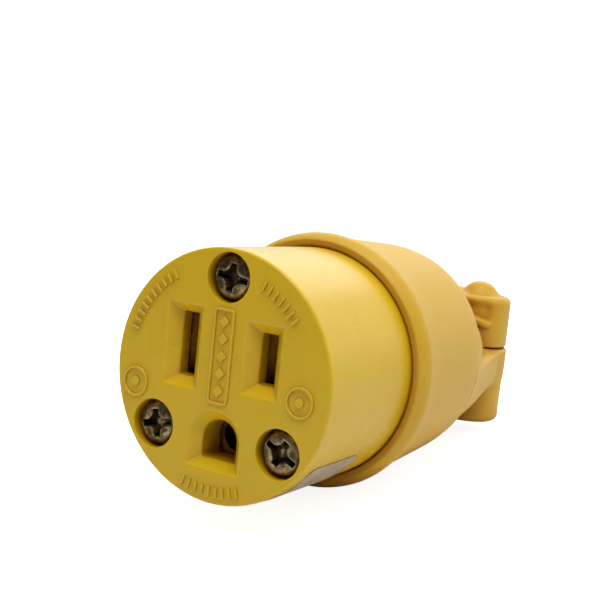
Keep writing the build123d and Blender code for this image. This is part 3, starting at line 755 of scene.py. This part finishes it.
def neck_field(x, y, z, turned):
    """The cone and, below the parting face, the neck that carries the lower jaw."""
    way = np.clip((y - NECK_START_Y) / (EAR_Y - NECK_START_Y), 0, 1)
    run = np.clip(y - FLARE_Y, 0, EAR_Y - FLARE_Y)
    half_width = FLARE[0] + FLARE[1] * run + FLARE[2] * run**2
    ear_side = EAR_X + np.sqrt(np.maximum(EAR_R**2 - np.maximum(y - EAR_Y, 0) ** 2, 0.1))
    half_width = np.where(y > EAR_Y, ear_side, half_width)
    depth = 16.2 - 8.4 * way - 6.7 * way**2 + 5.4 * way**3
    below = squared(x, z, half_width, depth, 2.0 + 4.5 * way**1.6)
    above = squared(x, z, 15.95 - 7.6 * way, 15.95 - 8.4 * way, 1.93 - 0.5 * way)
    onset = np.clip((y - 47.0) / 3.0, 0, 1)
    onset = onset * onset * (3 - 2 * onset)
    lower = smooth_min(turned, np.maximum(below, 46.3 - y), 0.4)
    upper = turned + (above - turned) * onset
    soft = 0.35 + 2.4 * (1 - way) ** 1.5
    share = np.clip((z + soft) / (soft + 0.2), 0, 1)
    solid = lower + (upper - lower) * share * share * (3 - 2 * share)
    return smooth_max(solid, np.minimum(y - CONE_END_Y, np.maximum(z, y - 72.5)), 0.6)


def shell_field(x, y, z):
    r = np.hypot(x, z)
    solid = neck_field(x, y, z, polygon(r, y, shell_outline))
    off = np.hypot(np.abs(x) - EAR_X, y - EAR_Y)
    ear = rounded_pair(off - EAR_R, EAR_LOW_Z - z, 1.1)
    jaw = smooth_max(stadium(x, y), smooth_min(ear, -7.2 - z, 0.9), 0.1)
    jaw = rounded_pair(jaw, z, 0.22)
    solid = smooth_min(solid, jaw, 0.7)
    solid = smooth_max(solid, -polygon(r, y, cavity_outline), 0.35)
    for sx, sz in SCREWS.values():
        far = np.hypot(x - sx, z - sz)
        solid = smooth_min(solid, rod(far, y, BOSS_R, 27.9, BOSS_END_Y, 0.3), 0.4)
        bore = np.minimum(rod(far, y, 2.4, 20.0, 38.0, 0.05), rod(far, y, 1.95, 20.0, 41.0, 0.05))
        solid = smooth_max(solid, -np.maximum(bore, 27.0 - y), 0.15)
    holes = np.minimum(rod(off, z, 3.25, -20.0, HEAD_SEAT_Z, 0.1), rod(off, z, HOLE_R, -20.0, 5.0, 0.1))
    return smooth_max(solid, -holes, 0.25)


points, quads, normals, bend = skin(shell_field, (-18.95, RIM_Y, -18.95), (18.95, END_Y, 18.95), 0.34)
piece(
    "rear_shell_moulding", points, quads, "shell", paints["shell_vinyl"], ("rear_shell",),
    normals, bend,
)


# ---------------------------------------------------------------- clamp saddle
CROWN_Z = 9.3
DOME_R, DOME_Z = 3.05, 11.1
RIB_X, RIB_Z = 8.3, 4.75    # middle of the slanting rib
RIB_TILT = (0.95, 0.31)     # cosine and sine of its slant


def saddle_field(x, y, z):
    wall = stadium(x, y)
    crown = z - CROWN_Z + np.minimum(np.abs(x), 6.2) ** 2 / 92.0
    solid = rounded_pair(wall, crown, 1.2)
    solid = rounded_pair(solid, 0.3 - z, 0.2)
    off = np.hypot(np.abs(x) - EAR_X, y - EAR_Y)
    solid = smooth_min(solid, rod(off, z, DOME_R, 2.6, DOME_Z, 2.7), 1.3)
    # a web from each dome down to the outer shoulder
    outward = np.abs(x) - EAR_X
    web = rounded_pair(np.abs(y - EAR_Y) - 2.1, 0.5 * outward + 0.866 * (z - 10.2), 1.0)
    web = np.maximum(np.maximum(web, 0.4 - outward), 6.0 - z)
    solid = smooth_min(solid, web, 1.0)
    # the front and back faces are hollowed under the crown, with a short slanting rib below
    pocket = block(np.abs(x), wall, z, (5.4, 0.3, 6.2), (4.6, 0.9, 1.5), 0.85)
    solid = smooth_max(solid, -pocket, 1.7)
    aside, up = np.abs(x) - RIB_X, z - RIB_Z
    along = aside * RIB_TILT[0] - up * RIB_TILT[1]
    across = aside * RIB_TILT[1] + up * RIB_TILT[0]
    rib = np.hypot(np.maximum(np.abs(along) - 1.6, 0), across) - 0.6
    rib = np.maximum(rounded_pair(rib, wall - 0.55, 0.45), y - EAR_Y)
    solid = np.maximum(solid, wall)
    solid = smooth_min(solid, np.maximum(rib, -0.9 - wall), 0.25)
    solid = smooth_max(solid, -(np.hypot(x, z) - CORD_R), 0.4)
    holes = np.minimum(rod(off, z, 2.3, -5.0, 7.6, 0.05), rod(off, z, 1.95, -5.0, 9.6, 0.4))
    return smooth_max(solid, -holes, 0.15)


points, quads, normals, bend = skin(saddle_field, (-11.8, 63.2, 0.3), (11.8, END_Y, DOME_Z), 0.2)
piece(
    "clamp_saddle_moulding", points, quads, "saddle", paints["shell_vinyl"],
    ("clamp_saddle",), normals, bend,
)


# ---------------------------------------------------------------- screws
THREAD_PITCH = 0.79375
SHANK_R = 1.75


def head_field(radius, height, crown, turn):
    """A pan head seen along its axis: across x and y, z out of the seat. turn is its recess's, in degrees."""
    c, s = math.cos(math.radians(turn)), math.sin(math.radians(turn))
    top_r = 11.0

    def field(x, y, z):
        r = np.hypot(x, y)
        solid = rounded_pair(r - radius, np.hypot(r, z - height + top_r) - top_r, crown)
        solid = rounded_pair(solid, -z, 0.12)
        u, v = np.abs(c * x + s * y), np.abs(c * y - s * x)
        inward = (height - z) * math.tan(math.radians(14.0))
        slot = np.maximum(u - 0.83 * radius + inward, v - 0.5 + inward)
        cross = np.maximum(u - 0.55 + inward, v - 0.63 * radius + inward)
        square = (u + v) / math.sqrt(2) - 1.2 + inward
        recess = smooth_min(smooth_min(slot, cross, 0.2), square, 0.3)
        recess = smooth_max(recess, height / 2 - z, 0.2)
        return smooth_max(solid, -recess, 0.16)

    return field


def thread(length):
    """Points, quads and hollows of a threaded shank from just inside the head to its tip at z = -length."""
    rows, columns = int((length + 0.4) / THREAD_PITCH * 10), 28
    z = np.linspace(0.4, -length, rows)[:, None]
    turn = np.linspace(0, math.tau, columns, endpoint=False)[None, :]
    phase = (z / THREAD_PITCH + turn / math.tau) % 1.0
    crest = np.clip(np.abs(phase - 0.5) * 2.5 - 0.25, 0, 1)
    r = SHANK_R - 0.46 * (1 - crest)
    r = np.minimum(r, SHANK_R - 0.45 + (z + length))
    grid = np.stack([r * np.cos(turn), r * np.sin(turn), z + 0 * turn], axis=-1).reshape(-1, 3)
    quads = []
    for i in range(rows - 1):
        for j in range(columns):
            here, after = i * columns + j, i * columns + (j + 1) % columns
            quads.append((here, here + columns, after + columns, after))
    ends = [tuple(range(columns)), tuple((rows - 1) * columns + j for j in reversed(range(columns)))]
    return grid, quads + ends, (0.5 * crest + 0 * z).ravel() * 0.6 - 0.15


def screw(name, node, body, slot, seat, out, up, radius, height, length, crown, turn):
    """A screw with its seat at a point and its head towards out. turn is from the right side of up."""
    out, up = Vector(out), Vector(up)
    place = np.array([up.cross(out), up, out])
    field = head_field(radius, height, crown, turn)
    head, faces, _, bend = skin(field, (-radius, -radius, 0), (radius, radius, height), 0.1)
    shank, shank_faces, shank_tone = thread(length)
    points = np.concatenate([head, shank]) @ place + np.array(seat)
    faces = [tuple(f) for f in faces] + [tuple(i + len(head) for i in f) for f in shank_faces]
    piece(name, points, faces, body, paints[slot], (node,), None, np.concatenate([bend, shank_tone]))


FRONT, UP = (0, -1, 0), (0, 0, 1)
for name, turn in (("top", -8.0), ("left", 12.0), ("right", -27.0)):
    x, z = SCREWS[name]
    screw(
        f"face_screw_{name}_steel", f"face_screw_{name}", f"face_screw_{name}", "aged_screw",
        (x, SEAT_Y, z), FRONT, UP, 3.05, 2.75, 34.9, 0.85, turn,
    )
for name, x in (("left", -EAR_X), ("right", EAR_X)):
    screw(
        f"clamp_screw_{name}_steel", f"clamp_screw_{name}", f"clamp_screw_{name}", "aged_screw",
        (x, EAR_Y, HEAD_SEAT_Z), (0, 0, -1), (0, 1, 0), 2.9, 2.2, 19.05, 0.7, 35.0,
    )
for name, slot, seat, out, up in (
    ("neutral", "silver_screw", (-8.5, 34.1, BLADE_Z), (-1, 0, 0), (0, 0, 1)),
    ("hot", "brass_screw", (8.5, 34.1, BLADE_Z), (1, 0, 0), (0, 0, 1)),
    ("ground", "green_screw", (0, 34.1, -7.75), (0, 0, -1), (0, 1, 0)),
):
    screw(
        f"{name}_screw_head_and_thread", f"{name}_terminal_screw", f"{name}_screw", slot,
        seat, out, up, 3.2, 1.9, 4.9, 0.6, 20.0,
    )


# ---------------------------------------------------------------- blank label
LABEL_Y = (3.0, 15.5)
LABEL_MIDDLE = 55.5         # degrees below the horizontal
LABEL_HALF_SWEEP = 20.5
LABEL_CORNER = 1.2


def label():
    """A thin film with rounded corners, bent round the front body's side."""
    front, back = LABEL_Y
    corner, columns = LABEL_CORNER, 40
    rounding = corner * (1 - np.cos(np.linspace(0, 1, 8) * math.pi / 2))
    rows = np.concatenate([front + rounding, back - rounding[::-1]])
    taper = (FACE_R - FRONT_BACK_R) / RIM_Y
    points = []
    for lift in (0.13, 0.012):
        for y in rows:
            inside = max(front + corner - y, y - back + corner, 0)
            pulled = math.degrees((corner - math.sqrt(max(corner**2 - inside**2, 0))) / FACE_R)
            radius = FACE_R - taper * y + lift
            for s in np.linspace(-1, 1, columns + 1):
                angle = -math.radians(LABEL_MIDDLE + s * (LABEL_HALF_SWEEP - pulled))
                points.append((radius * math.cos(angle), y, radius * math.sin(angle)))
    faces, count, width = [], len(rows), columns + 1
    under = count * width
    for i in range(count - 1):
        for j in range(columns):
            a = i * width + j
            quad = (a, a + 1, a + width + 1, a + width)
            faces += [quad, tuple(under + k for k in (quad[0], quad[3], quad[2], quad[1]))]
    edge = list(range(columns)) + [i * width + columns for i in range(count - 1)]
    edge += [(count - 1) * width + j for j in range(columns, 0, -1)]
    edge += [i * width for i in range(count - 1, 0, -1)]
    faces += [(a, under + a, under + b, b) for a, b in zip(edge, edge[1:] + edge[:1])]
    return points, faces


points, faces = label()
film = piece("blank_label_film", points, faces, "front", paints["label"], ("rating_label",))
weighted(film, 40)

# ---------------------------------------------------------------- camera, light and floor
view_out = Vector((0.5137, -0.8497, 0.1192))
view_right = Vector((0.8449, 0.5251, 0.1021))
view_up = view_out.cross(view_right)
camera = bpy.data.objects.new("camera", bpy.data.cameras.new("camera"))
camera.data.lens = 72.0
camera.data.sensor_width = 36.0
camera.data.clip_start = 0.01
camera.matrix_world = Matrix.Translation(Vector((87.80, -126.59, 29.66)) * MM) @ Matrix(
    (view_right, view_up, view_out)
).transposed().to_4x4()
bpy.context.scene.collection.objects.link(camera)
bpy.context.scene.camera = camera


def softbox(name, place, target, size, power, tint=(1.0, 1.0, 1.0)):
    lamp = bpy.data.lights.new(name, "AREA")
    lamp.shape = "RECTANGLE"
    lamp.size, lamp.size_y = size
    lamp.energy = power
    lamp.color = tint
    made = bpy.data.objects.new(name, lamp)
    made.location = Vector(place)
    made.rotation_mode = "QUATERNION"
    made.rotation_quaternion = (Vector(place) - Vector(target)).to_track_quat("Z", "Y")
    bpy.context.scene.collection.objects.link(made)


middle = (0.0, 0.03, 0.0)
softbox("key", (0.08, -0.11, 0.50), middle, (0.34, 0.34), 2.1, (1.0, 0.985, 0.95))
softbox("back_rim", (-0.18, 0.45, 0.34), middle, (0.5, 0.3), 0.5)

world = bpy.data.worlds.new("studio")
world.use_nodes = True
bpy.context.scene.world = world
background = world.node_tree.nodes["Background"]
background.inputs["Color"].default_value = (1.0, 1.0, 1.0, 1.0)
AMBIENT = 0.12
BACKDROP = 1.1
SHOWN_WHITE = 1.02


def seen_or_not(tree, socket, unseen, seen):
    """The backdrop shows as white paper, and lights the object less than it shows."""
    path = tree.nodes.new("ShaderNodeLightPath").outputs["Is Camera Ray"]
    level = tree.nodes.new("ShaderNodeMapRange")
    if isinstance(unseen, float):
        level.inputs["To Min"].default_value = unseen
    else:
        tree.links.new(unseen, level.inputs["To Min"])
    level.inputs["To Max"].default_value = seen
    tree.links.new(path, level.inputs["Value"])
    tree.links.new(level.outputs["Result"], socket)


# the white backdrop behind the connector is brighter than the room in front of it
aim = world.node_tree.nodes.new("ShaderNodeTexCoord").outputs["Generated"]
split = world.node_tree.nodes.new("ShaderNodeSeparateXYZ")
world.node_tree.links.new(aim, split.inputs["Vector"])
backdrop = world.node_tree.nodes.new("ShaderNodeMapRange")
backdrop.interpolation_type = "SMOOTHSTEP"
for key, number in (("From Min", 0.1), ("From Max", 0.8), ("To Min", AMBIENT), ("To Max", BACKDROP)):
    backdrop.inputs[key].default_value = number
world.node_tree.links.new(split.outputs["Y"], backdrop.inputs["Value"])
seen_or_not(world.node_tree, background.inputs["Strength"], backdrop.outputs["Result"], SHOWN_WHITE)

# The connector lies on its rim bead and its shoulder, so the floor leans with that line.
RIM_TOUCH = (24.7, -18.96)
SHOULDER_TOUCH = (47.1, -16.87)
lean = math.atan2(SHOULDER_TOUCH[1] - RIM_TOUCH[1], SHOULDER_TOUCH[0] - RIM_TOUCH[0])
SIDE = 3.0
floor_mesh = bpy.data.meshes.new("floor")
corners = [(-SIDE, -SIDE, 0), (SIDE, -SIDE, 0), (SIDE, SIDE, 0), (-SIDE, SIDE, 0)]
floor_mesh.from_pydata(corners, [], [(0, 1, 2, 3)])
floor = bpy.data.objects.new("floor", floor_mesh)
floor.rotation_euler = (lean, 0, 0)
floor.location = (0, RIM_TOUCH[0] * MM, RIM_TOUCH[1] * MM)
bpy.context.scene.collection.objects.link(floor)
board = bpy.data.materials.new("floor")
board.use_nodes = True
card = board.node_tree.nodes["Principled BSDF"]
card.inputs["Base Color"].default_value = (0.85, 0.85, 0.85, 1)
card.inputs["Roughness"].default_value = 0.8
card.inputs["Emission Color"].default_value = (1, 1, 1, 1)
seen_or_not(board.node_tree, card.inputs["Emission Strength"], 0.0, 0.87)
floor_mesh.materials.append(board)
bpy.context.scene.view_settings.view_transform = "Standard"
